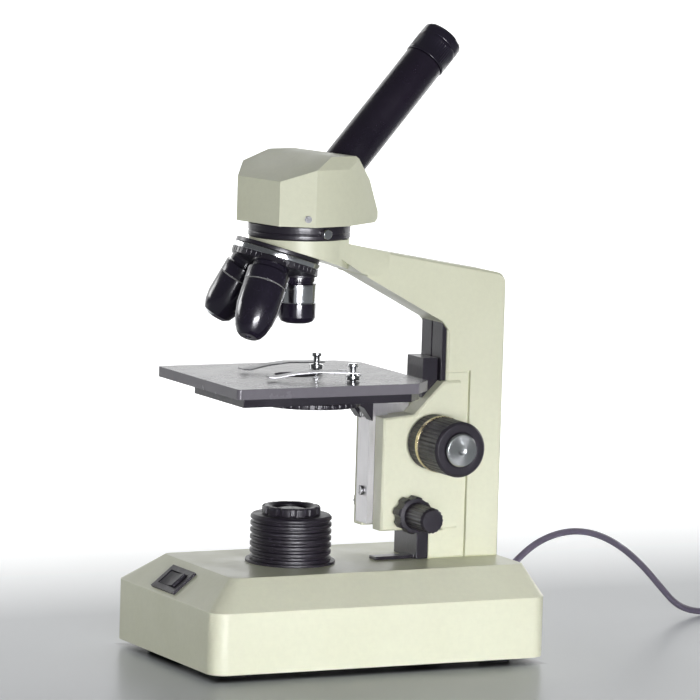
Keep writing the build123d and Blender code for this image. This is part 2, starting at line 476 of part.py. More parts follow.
coil = extrude(Pos(coil_c.X, coil_c.Y, 0) * (Circle(COIL_R + COIL_B) - Circle(COIL_R - COIL_B)), COIL_H)
out(coil, "cord_coil")
PX, PY = coil_c.X + COIL_R + COIL_B - R, coil_c.Y - 12.0
plug = Pos(PX, PY - 14 - 15, 7.2) * Box(24, 30, 14)
plug = fillet(plug.edges(), 3.0)
plug += loft([Plane(origin=(PX, PY - 15, 7.2), z_dir=(0, 1, 0)) * RectangleRounded(13, 9, 3), Plane(origin=(PX, PY, 7.2), z_dir=(0, 1, 0)) * Circle(3.0)])
for s in (-1, 1):
    plug -= box(PX + s * 6.5 - 3.3, PX + s * 6.5 + 3.3, PY - 46, PY - 36, 6.25, 8.15)
out(plug, "plug_body")
bl = []
for s in (-1, 1):
    b = box(PX + s * 6.5 - 3.15, PX + s * 6.5 + 3.15, PY - 62, PY - 36.2, 6.4, 8.0)
    bl.append(b - cyl(PX + s * 6.5, PY - 57, 6, 9, 1.6))
out(Compound(children=bl), "plug_blades")
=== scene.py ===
import bpy, bmesh, math
from mathutils import Vector, Matrix


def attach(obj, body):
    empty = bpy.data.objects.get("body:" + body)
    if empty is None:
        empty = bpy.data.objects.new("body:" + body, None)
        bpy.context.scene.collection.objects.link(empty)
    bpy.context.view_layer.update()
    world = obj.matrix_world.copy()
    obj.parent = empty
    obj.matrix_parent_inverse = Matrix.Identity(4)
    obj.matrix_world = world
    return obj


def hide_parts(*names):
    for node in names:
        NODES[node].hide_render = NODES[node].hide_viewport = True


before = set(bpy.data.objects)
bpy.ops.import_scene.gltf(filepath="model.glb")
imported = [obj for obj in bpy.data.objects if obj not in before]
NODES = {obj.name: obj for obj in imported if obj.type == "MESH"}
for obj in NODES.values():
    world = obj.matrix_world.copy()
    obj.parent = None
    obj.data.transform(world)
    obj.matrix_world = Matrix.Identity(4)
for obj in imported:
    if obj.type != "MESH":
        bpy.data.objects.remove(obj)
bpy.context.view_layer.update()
MM = 0.001
scene = bpy.context.scene
scene.view_settings.view_transform = "Standard"
scene.view_settings.look = "None"

# ------------------------------------------------------------------ camera: the photograph's place and lean
CAM = Vector((-1.43365, -2.86548, 0.56964))
RIGHT = Vector((0.949965, -0.312356, -0.000280))
DOWN = Vector((-0.086644, -0.262646, -0.960994))
FWD = Vector((0.300099, 0.912935, -0.276568))
F_PX, AIM, FRAME_W = 1254.771, (538.5, 150.5), 162.0
dx, dy = (AIM[0] - 350) / F_PX, (AIM[1] - 350) / F_PX
look = (RIGHT * dx + DOWN * dy + FWD).normalized()
turn = FWD.rotation_difference(look)
r_, d_, f_ = turn @ RIGHT, turn @ DOWN, turn @ FWD
cam_d = bpy.data.cameras.new("camera")
cam = bpy.data.objects.new("camera", cam_d)
scene.collection.objects.link(cam)
cam.matrix_world = Matrix(((r_.x, -d_.x, -f_.x, CAM.x), (r_.y, -d_.y, -f_.y, CAM.y), (r_.z, -d_.z, -f_.z, CAM.z), (0, 0, 0, 1)))
cam_d.sensor_width = 36.0
cam_d.lens = 36.0 * F_PX * math.sqrt(1 + dx * dx + dy * dy) / FRAME_W
cam_d.clip_start, cam_d.clip_end = 0.1, 50
scene.camera = cam


# ------------------------------------------------------------------ materials
def nt(name):
    m = bpy.data.materials.new(name)
    m.use_nodes = True
    t = m.node_tree
    t.nodes.clear()
    out = t.nodes.new("ShaderNodeOutputMaterial")
    b = t.nodes.new("ShaderNodeBsdfPrincipled")
    t.links.new(b.outputs[0], out.inputs[0])
    return m, t, b


def node(t, kind, **kw):
    n = t.nodes.new(kind)
    for k, v in kw.items():
        if k in n.inputs:
            n.inputs[k].default_value = v
        else:
            setattr(n, k, v)
    return n


def coords(t, scale=(1, 1, 1)):
    tc = t.nodes.new("ShaderNodeTexCoord")
    mp = t.nodes.new("ShaderNodeMapping")
    mp.inputs["Scale"].default_value = scale
    t.links.new(tc.outputs["Object"], mp.inputs["Vector"])
    return mp.outputs[0]


def noise(t, vec, scale, detail=3.0, rough=0.5):
    n = t.nodes.new("ShaderNodeTexNoise")
    n.inputs["Scale"].default_value = scale
    n.inputs["Detail"].default_value = detail
    n.inputs["Roughness"].default_value = rough
    t.links.new(vec, n.inputs["Vector"])
    return n.outputs["Fac"]


def ramp(t, fac, stops):
    r = t.nodes.new("ShaderNodeValToRGB")
    els = r.color_ramp.elements
    while len(els) < len(stops):
        els.new(0.5)
    for e, (p, c) in zip(els, stops):
        e.position = p
        e.color = (*c, 1.0) if len(c) == 3 else c
    t.links.new(fac, r.inputs[0])
    return r.outputs[0]


def grey(v):
    return (v, v, v)


def mix(t, fac, a, b, mode="MIX"):
    m = t.nodes.new("ShaderNodeMix")
    m.data_type = "RGBA"
    m.blend_type = mode
    if isinstance(fac, (int, float)):
        m.inputs[0].default_value = fac
    else:
        t.links.new(fac, m.inputs[0])
    for sock, v in ((m.inputs[6], a), (m.inputs[7], b)):
        if isinstance(v, tuple):
            sock.default_value = (*v, 1.0)
        else:
            t.links.new(v, sock)
    return m.outputs[2]


def bump(t, b, height, strength, dist, prev=None):
    n = t.nodes.new("ShaderNodeBump")
    n.inputs["Strength"].default_value = strength
    n.inputs["Distance"].default_value = dist
    t.links.new(height, n.inputs["Height"])
    if prev is not None:
        t.links.new(prev, n.inputs["Normal"])
    t.links.new(n.outputs[0], b.inputs["Normal"])
    return n.outputs[0]


def maths(t, op, a, b=None):
    m = t.nodes.new("ShaderNodeMath")
    m.operation = op
    for s, v in ((m.inputs[0], a), (m.inputs[1], b)):
        if v is None:
            continue
        if isinstance(v, (int, float)):
            s.default_value = v
        else:
            t.links.new(v, s)
    return m.outputs[0]


def edges(t, lo, hi):
    g = t.nodes.new("ShaderNodeNewGeometry")
    return ramp(t, g.outputs["Pointiness"], [(lo, grey(0)), (hi, grey(1))])


def up_facing(t, lo=0.55, hi=0.95):
    g = t.nodes.new("ShaderNodeNewGeometry")
    s = t.nodes.new("ShaderNodeSeparateXYZ")
    t.links.new(g.outputs["Normal"], s.inputs[0])
    return ramp(t, s.outputs[2], [(lo, grey(0)), (hi, grey(1))])


def paint(name, base, dark, rough, grain, coat=0.0, dust=(0.5, 0.5, 0.45), dust_amt=0.12, wear=None, vary=1.0):
    """Stoved enamel: slow tone drift, fine orange peel, uneven gloss, a trace of dust on top faces and worn edges."""
    m, t, b = nt(name)
    v = coords(t)
    col = ramp(t, noise(t, v, 22, 4), [(0.32, dark), (0.68, base)])
    fine = noise(t, v, 340, 2)
    col = mix(t, 0.10, col, ramp(t, fine, [(0.3, tuple(c * 0.8 for c in base)), (0.7, tuple(min(1, c * 1.1) for c in base))]))
    if dust_amt:
        spots = ramp(t, noise(t, v, 75, 5, 0.65), [(0.42, grey(0)), (0.72, grey(1))])
        fac = maths(t, "MULTIPLY", maths(t, "MULTIPLY", up_facing(t), spots), dust_amt)
        col = mix(t, fac, col, dust)
    if wear:
        nick = ramp(t, noise(t, v, 260, 3), [(0.50, grey(0)), (0.62, grey(1))])
        fac = maths(t, "MULTIPLY", maths(t, "MULTIPLY", edges(t, 0.53, 0.60), nick), 0.55)
        col = mix(t, fac, col, wear)
    t.links.new(col, b.inputs["Base Color"])
    rr = ramp(t, noise(t, v, 48, 4, 0.6), [(0.3, grey(rough - 0.07 * vary)), (0.7, grey(rough + 0.10 * vary))])
    t.links.new(rr, b.inputs["Roughness"])
    b.inputs["Coat Weight"].default_value = coat
    b.inputs["Coat Roughness"].default_value = 0.12
    p = bump(t, b, noise(t, v, 620, 2), 0.16 * grain, 0.0004)
    bump(t, b, noise(t, v, 90, 3), 0.10 * grain, 0.0006, p)
    return m


def plastic(name, base, rough, grain=1.0, scale=1500, spec=0.5, coat=0.0, rub=0.35):
    m, t, b = nt(name)
    v = coords(t)
    lite = tuple(min(1, c * 1.9 + 0.012) for c in base)
    col = ramp(t, noise(t, v, 60, 4), [(0.35, base), (0.75, tuple(min(1, c * 1.35) for c in base))])
    fac = maths(t, "MULTIPLY", edges(t, 0.52, 0.60), rub)
    col = mix(t, fac, col, lite)
    t.links.new(col, b.inputs["Base Color"])
    t.links.new(ramp(t, noise(t, v, 110, 4, 0.6), [(0.3, grey(max(0.05, rough - 0.07))), (0.7, grey(rough + 0.10))]), b.inputs["Roughness"])
    b.inputs["Specular IOR Level"].default_value = spec
    b.inputs["Coat Weight"].default_value = coat
    b.inputs["Coat Roughness"].default_value = 0.08
    vo = t.nodes.new("ShaderNodeTexVoronoi")
    vo.inputs["Scale"].default_value = scale
    t.links.new(v, vo.inputs["Vector"])
    bump(t, b, vo.outputs["Distance"], 0.22 * grain, 0.00025)
    return m


def metal(name, base, rough, stretch=(1, 1, 1), scale=300, streak=0.12, spread=0.06, aniso=0.0):
    """Metal with machining or polishing marks drawn out along one direction."""
    m, t, b = nt(name)
    v = coords(t, stretch)
    n1 = noise(t, v, scale, 4, 0.6)
    smudge = noise(t, coords(t), 55, 4, 0.6)
    col = ramp(t, n1, [(0.25, tuple(c * 0.86 for c in base)), (0.75, base)])
    t.links.new(col, b.inputs["Base Color"])
    b.inputs["Metallic"].default_value = 1.0
    mixed = maths(t, "ADD", maths(t, "MULTIPLY", n1, 0.5), maths(t, "MULTIPLY", smudge, 0.5))
    t.links.new(ramp(t, mixed, [(0.35, grey(max(0.04, rough - spread))), (0.65, grey(rough + spread))]), b.inputs["Roughness"])
    b.inputs["Anisotropic"].default_value = aniso
    bump(t, b, n1, streak, 0.0002)
    return m


def turned(name, base, rough, axis_pt, axis):
    """Turned disc: fine concentric grooves about an axis."""
    m, t, b = nt(name)
    tc = t.nodes.new("ShaderNodeTexCoord")
    s = t.nodes.new("ShaderNodeSeparateXYZ")
    t.links.new(tc.outputs["Object"], s.inputs[0])
    keep = {"Y": (0, 2), "Z": (0, 1)}[axis]
    sq = []
    for i in keep:
        dlt = maths(t, "SUBTRACT", s.outputs[i], axis_pt[i])
        sq.append(maths(t, "MULTIPLY", dlt, dlt))
    rad = maths(t, "SQRT", maths(t, "ADD", *sq))
    wave = maths(t, "SINE", maths(t, "MULTIPLY", rad, 2 * math.pi / 0.00055))
    b.inputs["Base Color"].default_value = (*base, 1)
    b.inputs["Metallic"].default_value = 1.0
    col = ramp(t, noise(t, coords(t), 140, 3), [(0.3, tuple(c * 0.9 for c in base)), (0.7, base)])
    t.links.new(col, b.inputs["Base Color"])
    t.links.new(ramp(t, wave, [(0.0, grey(rough + 0.05)), (1.0, grey(rough - 0.04))]), b.inputs["Roughness"])
    tg = t.nodes.new("ShaderNodeTangent")
    tg.direction_type = "RADIAL"
    tg.axis = axis
    t.links.new(tg.outputs[0], b.inputs["Tangent"])
    b.inputs["Anisotropic"].default_value = 0.7
    bump(t, b, wave, 0.10, 0.0001)
    return m


def glass(name, tint, rough=0.0, coat_tint=None, trans=1.0, ior=1.52):
    m, t, b = nt(name)
    v = coords(t)
    col = ramp(t, noise(t, v, 160, 2), [(0.3, tuple(c * 0.96 for c in tint)), (0.7, tint)])
    t.links.new(col, b.inputs["Base Color"])
    b.inputs["Transmission Weight"].default_value = trans
    b.inputs["IOR"].default_value = ior
    if rough > 0:
        t.links.new(ramp(t, noise(t, v, 900, 2), [(0.3, grey(rough - 0.08)), (0.7, grey(rough + 0.08))]), b.inputs["Roughness"])
        bump(t, b, noise(t, v, 1600, 2), 0.25, 0.0002)
    else:
        t.links.new(ramp(t, noise(t, v, 90, 3), [(0.4, grey(0.01)), (0.8, grey(0.06))]), b.inputs["Roughness"])
    if coat_tint:
        b.inputs["Coat Weight"].default_value = 1.0
        b.inputs["Coat Tint"].default_value = (*coat_tint, 1)
    return m


CREAM = paint("m_cream_enamel", (0.738, 0.748, 0.560), (0.710, 0.716, 0.530), 0.36, 1.0, coat=0.10, dust=(0.58, 0.58, 0.50), dust_amt=0.16)
BLACK = paint("m_black_enamel", (0.022, 0.018, 0.026), (0.014, 0.012, 0.018), 0.34, 1.2, coat=0.25, dust=(0.22, 0.22, 0.21), dust_amt=0.10)
STAGE = paint("m_stage_enamel", (0.180, 0.170, 0.186), (0.168, 0.158, 0.175), 0.255, 0.5, coat=0.0, dust=(0.30, 0.30, 0.29), dust_amt=0.10, vary=0.25)
BLACKP = plastic("m_black_bakelite", (0.017, 0.014, 0.020), 0.40, 1.0, 1400, 0.5)
GLOSSB = plastic("m_black_lacquer", (0.012, 0.009, 0.018), 0.20, 0.25, 900, 0.55, coat=0.5)
TUBEB = paint("m_tube_black", (0.016, 0.010, 0.022), (0.011, 0.008, 0.016), 0.30, 1.6, coat=0.3, dust_amt=0.0)
ROCKER = plastic("m_rocker_plastic", (0.014, 0.012, 0.017), 0.50, 0.8, 1200, 0.35)
RUBBER = plastic("m_rubber", (0.014, 0.013, 0.013), 0.72, 1.6, 1100, 0.3)
CHROME = metal("m_chrome", (0.80, 0.81, 0.82), 0.13, (1, 1, 1), 420, 0.03, 0.05)
STEEL = metal("m_ground_steel", (0.63, 0.62, 0.63), 0.38, (30, 30, 1), 60, 0.22, 0.08)
STEELX = metal("m_spring_steel", (0.34, 0.34, 0.35), 0.40, (1, 14, 14), 60, 0.15, 0.07)
SCREW = metal("m_screw_steel", (0.48, 0.48, 0.49), 0.30, (1, 1, 1), 700, 0.20, 0.08)
ALU = metal("m_satin_aluminium", (0.78, 0.79, 0.80), 0.30, (1, 1, 20), 60, 0.12, 0.07)
BRASS = metal("m_gold_ring", (0.72, 0.62, 0.40), 0.26, (1, 1, 1), 500, 0.08, 0.06)
TURN_Y = turned("m_turned_caps", (0.80, 0.82, 0.81), 0.22, (0.053, 0, 0.126), "Y")
LENS = glass("m_coated_lens", (0.86, 0.90, 0.95), 0.0, (0.62, 0.50, 0.95))
FROST = glass("m_frosted_lens", (0.93, 0.94, 0.90), 0.38, None)
BULB = glass("m_bulb_glass", (0.96, 0.96, 0.92))
CERAM = plastic("m_ceramic", (0.72, 0.70, 0.64), 0.42, 0.5, 700, 0.5)
CORDM = plastic("m_grey_pvc", (0.115, 0.100, 0.135), 0.42, 0.7, 900, 0.45)
PLUGM = plastic("m_plug_pvc", (0.060, 0.055, 0.068), 0.46, 1.0, 900, 0.45)


# ------------------------------------------------------------------ cord
ROUTE = [(121.0, 9.6, 41.6), (133.0, 13.0, 51.0), (150.0, 17.8, 59.0), (171.0, 23.6, 62.0), (192.0, 29.5, 58.5), (212.0, 35.0, 49.5),
         (231.0, 40.3, 36.0), (247.0, 44.6, 21.0), (261.0, 48.3, 8.0), (277.0, 51.6, 2.3), (294.0, 52.4, 2.15), (310.0, 50.4, 2.1)]
CORD_D = 4.0
ex, ey = ROUTE[-1][0] - ROUTE[-2][0], ROUTE[-1][1] - ROUTE[-2][1]
el = math.hypot(ex, ey)
ex, ey = ex / el, ey / el
CX, CY = ROUTE[-1][0] + ex * 11.0 + ey * 29.0, ROUTE[-1][1] + ey * 11.0 - ex * 29.0
A0 = math.atan2(ex, -ey)                       # angle of the entry tangent point, about the coil's centre
PER = 14
SLOTS = [(29.2, 2.1), (25.05, 2.1), (20.9, 2.1), (16.75, 2.1), (16.75, 6.15), (20.9, 6.15), (25.05, 6.15), (29.2, 6.15), (27.0, 10.2), (22.9, 10.2), (18.8, 10.2)]
pts = list(ROUTE)


def ease(x):
    x = max(0.0, min(1.0, x))
    return x * x * (3 - 2 * x)


total = (A0 + 2 * math.pi * len(SLOTS))       # ends at angle 0, heading -Y
steps = int(round(total / (2 * math.pi) * PER))
for i in range(steps + 1):
    a = total * i / steps
    k, fr = divmod(a / (2 * math.pi), 1.0)
    k = int(k)
    r0, z0 = SLOTS[min(k, len(SLOTS) - 1)]
    r1, z1 = SLOTS[min(k + 1, len(SLOTS) - 1)]
    e = ease((fr - 0.72) / 0.28)
    r, z = r0 + (r1 - r0) * e, z0 + (z1 - z0) * e
    left = total - a
    if left < 1.9:                              # the last stretch climbs over the upper turns and out to the plug
        u = 1 - left / 1.9
        r = r + (29.6 - r) * ease(u * 1.05)
        z = 10.2 + 4.2 * math.sin(math.pi * min(1.0, u * 1.15)) ** 2 - 2.6 * ease((u - 0.72) / 0.28)
    ang = A0 - a
    pts.append((CX + r * math.cos(ang), CY + r * math.sin(ang), z))
pts += [(CX + 29.3, CY - 8.0, 7.3), (CX + 29.0, CY - 13.5, 7.2)]


def nurbs(name, points, radius, mat):
    cu = bpy.data.curves.new(name, "CURVE")
    cu.dimensions = "3D"
    sp = cu.splines.new("NURBS")
    sp.points.add(len(points) - 1)
    for p, q in zip(sp.points, points):
        p.co = (q[0] * MM, q[1] * MM, q[2] * MM, 1.0)
    sp.order_u = 3
    sp.use_endpoint_u = True
    sp.resolution_u = 6
    cu.bevel_depth = radius * MM
    cu.bevel_resolution = 5
    cu.use_fill_caps = True
    o = bpy.data.objects.new(name, cu)
    scene.collection.objects.link(o)
    cu.materials.append(mat)
    return o


lead = nurbs("mains_lead", pts, CORD_D / 2, CORDM)
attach(lead, "base")
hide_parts("power_cord", "cord_coil")


# ------------------------------------------------------------------ mesh helpers
def mesh_obj(name, verts, faces, mats, idx=None, sharp=32.0):
    me = bpy.data.meshes.new(name)
    me.from_pydata([tuple(v) for v in verts], [], faces)
    for m in mats:
        me.materials.append(m)
    if idx:
        me.polygons.foreach_set("material_index", idx)
    bm = bmesh.new()
    bm.from_mesh(me)
    bmesh.ops.remove_doubles(bm, verts=bm.verts, dist=1e-7)
    bmesh.ops.recalc_face_normals(bm, faces=bm.faces)
    lim = math.radians(sharp)
    for e in bm.edges:
        e.smooth = not (len(e.link_faces) == 2 and e.calc_face_angle(0.0) > lim)
    for f in bm.faces:
        f.smooth = True
    bm.to_mesh(me)
    bm.free()
    o = bpy.data.objects.new(name, me)
    scene.collection.objects.link(o)
    return o


def basis(direction, xdir=None):
    z = Vector(direction).normalized()
    x = Vector(xdir) if xdir else (Vector((1, 0, 0)) if abs(z.x) < 0.9 else Vector((0, 1, 0)))
    x = (x - z * x.dot(z)).normalized()
    return x, z.cross(x), z


def soften(prof, rad):
    """Rounds the corners of a (radius, height, material) profile by a small arc."""
    res = []
    n = len(prof)
    for i, p in enumerate(prof):
        if i in (0, n - 1):
            res.append(p)
            continue
        a, b = Vector(prof[i - 1][:2]) - Vector(p[:2]), Vector(prof[i + 1][:2]) - Vector(p[:2])
        if a.length < 1e-6 or b.length < 1e-6 or a.angle(b) > math.radians(165):
            res.append(p)
            continue
        k = min(rad, a.length * 0.45, b.length * 0.45)
        a, b, c = a.normalized() * k, b.normalized() * k, Vector(p[:2])
        for t in (0.0, 0.33, 0.67, 1.0):
            q = c + a * (1 - t) ** 2 + b * t ** 2
            res.append((q.x, q.y, p[2] if t == 1.0 else prof[i - 1][2]))
    return res


def lathe(name, prof, origin, direction, mats, segs=96, soft=0.25, mod=None, xdir=None, body=None, slots=None, closed=False):
    """prof is (radius, height[, material of the band that follows]) in mm; mod(angle, height, radius) gives a radius change."""
    prof = [(p[0], p[1], p[2] if len(p) > 2 else 0) for p in prof]
    if soft:
        prof = soften(prof, soft)
    x, y, z = basis(direction, xdir)
    o = Vector(origin)
    verts, faces, idx = [], [], []
    rows = []
    for r, h, m in prof:
        if r < 1e-6:
            rows.append([len(verts)] * segs)
            verts.append((o + z * h) * MM)
            continue
        row = []
        for k in range(segs):
            a = 2 * math.pi * k / segs
            rr = r + (mod(a, h, r) if mod else 0.0)
            row.append(len(verts))
            verts.append((o + x * (rr * math.cos(a)) + y * (rr * math.sin(a)) + z * h) * MM)
        rows.append(row)
    pairs = list(zip(rows[:-1], rows[1:], prof[:-1]))
    if closed:
        pairs.append((rows[-1], rows[0], prof[-1]))
    for ra, rb, p in pairs:
        for k in range(segs):
            q = [ra[k], ra[(k + 1) % segs], rb[(k + 1) % segs], rb[k]]
            f = []
            for v in q:
                if v not in f:
                    f.append(v)
            if len(f) > 2:
                faces.append(f)
                idx.append(p[2])
    ob = mesh_obj(name, verts, faces, mats, idx)
    if body:
        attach(ob, body)
    return ob


def cad(name, mat, width=0.35, segs=2, flat=0.6):
    """A CAD node keeps its mesh; welding, edge rounding and weighted normals finish it."""
    o = NODES[name]
    o.data.materials.clear()
    o.data.materials.append(mat)
    if width:
        w = o.modifiers.new("weld", "WELD")
        w.merge_threshold = 1e-6
        d = o.modifiers.new("planar", "DECIMATE")
        d.decimate_type = "DISSOLVE"
        d.angle_limit = math.radians(flat)
        b = o.modifiers.new("bevel", "BEVEL")
        b.width = width * MM
        b.segments = segs
        b.limit_method = "ANGLE"
        b.angle_limit = math.radians(28)
        b.use_clamp_overlap = True
        b.harden_normals = False
        n = o.modifiers.new("normals", "WEIGHTED_NORMAL")
        n.keep_sharp = False
        n.weight = 80
    return o


OPT_X = -27.5
A_Z = (0, 0, 1)
AXO = (OPT_X, 0, 0)
ts, tc = math.sin(math.radians(17)), math.cos(math.radians(17))
APEX, N_DIR = (OPT_X, 0, 282), (-ts, 0, -tc)

# ------------------------------------------------------------------ castings, plates and small parts straight from the CAD
# foot_cover is a black plate on the front face of the arm's foot; its black is partly the part's own colour and partly
# painted shade for the shadow that falls there
for n, m, w in (("base_housing", CREAM, 1.3), ("arm", CREAM, 0.9), ("focus_block", CREAM, 0.6), ("head_housing", CREAM, 0.9),
                ("base_bottom_plate", BLACK, 0.3), ("bottom_plate_screws", SCREW, 0.12), ("switch_bezel", BLACKP, 0.35), ("switch_rocker", ROCKER, 0.4),
                ("lamp_socket", CERAM, 0.3), ("arm_bolts", SCREW, 0.2), ("foot_cover", BLACK, 0.4), ("guide_strip", BLACK, 0.2),
                ("slide_stop", BLACK, 0.6), ("coarse_tension_washers", BLACKP, 0.2), ("stage_slide", STEEL, 0.25),
                ("coarse_pinion_shaft", SCREW, 0.08), ("fine_shaft", SCREW, 0.15), ("stage_plate", STAGE, 0.55), ("stage_under_plate", BLACK, 0.45),
                ("stage_bracket", BLACK, 0.5), ("stage_screws", SCREW, 0.12), ("disc_diaphragm", BLACK, 0.2), ("diaphragm_pivot", SCREW, 0.25),
                ("clip_leaf_right", STEELX, 0.12), ("clip_leaf_left", STEELX, 0.12), ("nosepiece_mount", BLACK, 0.3),
                ("nosepiece_turret", BLACK, 0.3), ("nosepiece_screw", SCREW, 0.2), ("objective_lenses", LENS, 0.05), ("head_lock_screw", CHROME, 0.35),
                ("prism", LENS, 0.15), ("field_lens", LENS, 0), ("head_screws", SCREW, 0.12), ("strain_relief", RUBBER, 0.4),
                ("plug_body", PLUGM, 1.6), ("plug_blades", SCREW, 0.25), ("lamp_bulb", BULB, 0.1)):
    cad(n, m, w, 3 if w >= 0.9 else 2)

# ------------------------------------------------------------------ turned parts remade with a fine surface
feet = []
for i, (sx, sy) in enumerate(((-1, -1), (-1, 1), (1, -1), (1, 1))):
    f = lathe("foot_%d" % i, [(0, 0.5), (5.5, 0.5), (6.0, 0), (8.3, 0), (9.9, 1.3), (10, 4), (0, 4)], (sx * 84, sy * 48, 0), A_Z, [RUBBER], 64, 0.3, body="base")
    feet.append(f)
    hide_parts("rubber_feet")

f = lathe("lamp_base_ring", [(17, 56), (26.2, 56), (26.2, 57.5), (17, 57.5)], AXO, A_Z, [BLACKP], 128, 0.3, body="base", closed=True)
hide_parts("lamp_flange")
prof, z = [(19, 57.5), (23.7, 57.5)], 59.3
while z < 81:
    prof += [(23.7, z), (22.3, z + 0.5), (22.3, z + 1.7), (23.7, z + 2.2)]
    z += 4.0
prof += [(23.7, 82.8), (22.5, 84), (15, 84), (15, 81), (19, 81)]
f = lathe("lamp_barrel", prof, AXO, A_Z, [BLACKP], 128, 0.22, body="base", closed=True)
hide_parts("lamp_housing")


def castle(a, h, r):
    """Finger notches round the rim of the lens ring."""
    if h < 84.7 or r < 15.5:
        return 0.0
    w = math.cos(12 * (a - math.radians(8)))
    return -1.0 * max(0.0, min(1.0, (w - 0.35) * 3.2))


f = lathe("lens_ring", [(10.5, 78), (14.93, 78), (14.93, 84), (17, 84), (17, 84.8), (17, 85.0), (17, 88.2), (16.3, 89), (13.6, 89), (12.1, 87.6), (12.1, 81), (10.5, 81)],
          AXO, A_Z, [BLACKP], 192, 0.2, mod=castle, body="filter_holder", closed=True)
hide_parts("filter_ring")
dome = [(0, 81), (12, 81), (12, 84.2)] + [(12 * math.cos(t), 84.2 + 3.7 * math.sin(t)) for t in [math.radians(q) for q in range(8, 90, 8)]] + [(0, 87.9)]
f = lathe("front_lens", dome, AXO, A_Z, [FROST], 96, 0, body="filter_holder")
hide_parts("collector_lens")

f = lathe("swivel_collar", [(20, 246), (28.8, 246), (29.6, 246.8), (29.6, 249.0), (29.2, 249.3), (29.2, 249.7), (29.6, 250.0), (29.6, 253.7), (28.8, 254.5), (20, 254.5)],
          AXO, A_Z, [BLACK], 160, 0.2, body="base", closed=True)
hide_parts("head_collar")

c12, s12, q = math.cos(math.radians(12)), math.sin(math.radians(12)), math.sqrt(0.5)
TDIR, TORG = (c12 * q, s12 * q, q), (OPT_X, 0, 256)
f = lathe("tube", [(10.8, 38), (12, 38), (12, 60), (12, 90), (12, 124.8), (11.8, 126), (10.8, 126)], TORG, TDIR, [TUBEB], 128, 0.15, body="head", closed=True)
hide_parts("eyepiece_tube")


def knurl(n, depth, h0, h1, rmin):
    def g(a, h, r):
        if h < h0 or h > h1 or r < rmin:
            return 0.0
        return -depth * (0.5 - 0.5 * math.cos(n * a)) ** 2
    return g


f = lathe("ocular", [(9.3, 108), (10.74, 108), (10.74, 126.3), (12.2, 126.3), (12.6, 126.7), (12.6, 128.4), (12.6, 128.6), (12.6, 132.5), (12.6, 137.4), (12.6, 137.6), (12.6, 139.2),
                     (12.3, 139.5), (12.3, 140.1), (12.6, 140.4), (12.6, 144.8), (11.9, 146), (8.4, 146), (7.2, 144.2), (7.2, 136), (9.3, 134)],
          TORG, TDIR, [GLOSSB], 192, 0.16, mod=knurl(52, 0.22, 128.5, 137.5, 12.4), body="eyepiece", closed=True)
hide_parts("eyepiece")
f = lathe("ocular_lens", [(0, 137), (7.15, 137), (7.15, 139.5)] + [(7.15 * math.cos(t), 139.5 + 2.5 * math.sin(t)) for t in [math.radians(v) for v in range(12, 90, 12)]] + [(0, 142)],
          TORG, TDIR, [LENS], 96, 0, body="eyepiece")
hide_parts("eye_lens")

# objectives: black barrels, bright bands, engraved ring marks, front cells
WHITE_RING = plastic("m_ring_mark", (0.20, 0.20, 0.19), 0.4, 0.2, 700, 0.5, rub=0.0)
OBJ = {"4x": (0.0, 0.0, -1.0), "40x": (-0.4193946776, -0.2532013236, -0.8717781794), "10x": (-0.4193946776, 0.2532013236, -0.8717781794)}
PROF = {
    "4x": ([(3.0, 51.5), (7.2, 51.5), (7.2, 59), (9.8, 59), (9.8, 62), (9.2, 62.2), (9.2, 63), (10.9, 63.2, 1), (10.9, 64.4, 1), (10.9, 73.8, 1), (10.6, 74.2, 0), (10.9, 74.6, 0), (10.9, 82.6),
            (9.6, 85.0), (7.5, 86.0), (4.0, 86.0), (4.0, 83.0), (3.0, 83.0)], knurl(60, 0.18, 59.3, 61.8, 9.4)),
    "10x": ([(3.0, 51.5), (7.2, 51.5), (7.2, 59), (10.2, 59), (10.2, 62), (9.4, 62.2), (9.4, 63), (11.6, 63.2), (11.6, 70.0), (11.4, 70.1, 2), (11.4, 70.9, 0), (11.6, 71.0), (11.6, 84),
             (10.6, 90), (8.6, 94.5, 1), (6.4, 96.5, 1), (3.2, 96.5, 0), (3.2, 93.5), (3.0, 93.5)], knurl(60, 0.18, 59.3, 61.8, 9.8)),
    "40x": ([(3.0, 51.5), (7.2, 51.5), (7.2, 59), (10.4, 59), (10.4, 62), (9.6, 62.2), (9.6, 63), (12.5, 63.2), (12.5, 70.6), (12.3, 70.7, 2), (12.3, 71.5, 0), (12.5, 71.6), (12.5, 86),
             (11.2, 93), (9.2, 99), (7.4, 102), (5.4, 103.5, 1), (1.8, 103.5, 0), (1.8, 101.0), (3.0, 99.0)], knurl(60, 0.18, 59.3, 61.8, 10.0)),
}
for nm, (pf, kn) in PROF.items():
    f = lathe("barrel_" + nm, pf, APEX, OBJ[nm], [GLOSSB, CHROME, WHITE_RING], 180, 0.22, mod=kn, body="nosepiece", closed=True)
    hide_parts("objective_" + nm)
f = lathe("turret_ring", [(24.8, 47.3), (26.0, 47.3), (26.2, 47.5), (26.2, 50.1), (26.0, 50.3), (24.8, 50.3)], APEX, N_DIR, [CHROME], 160, 0.12, body="nosepiece", closed=True)
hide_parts("nosepiece_ring")


# coarse and fine knobs
def coarse_mod(ye):
    def g(a, h, r):
        if r < 15.6:
            return 0.0
        if 20.9 < h < 29.4 or 34.0 < h < ye - 1.4:
            return -0.5 * (0.5 - 0.5 * math.cos(36 * a)) ** 3
        return 0.0
    return g


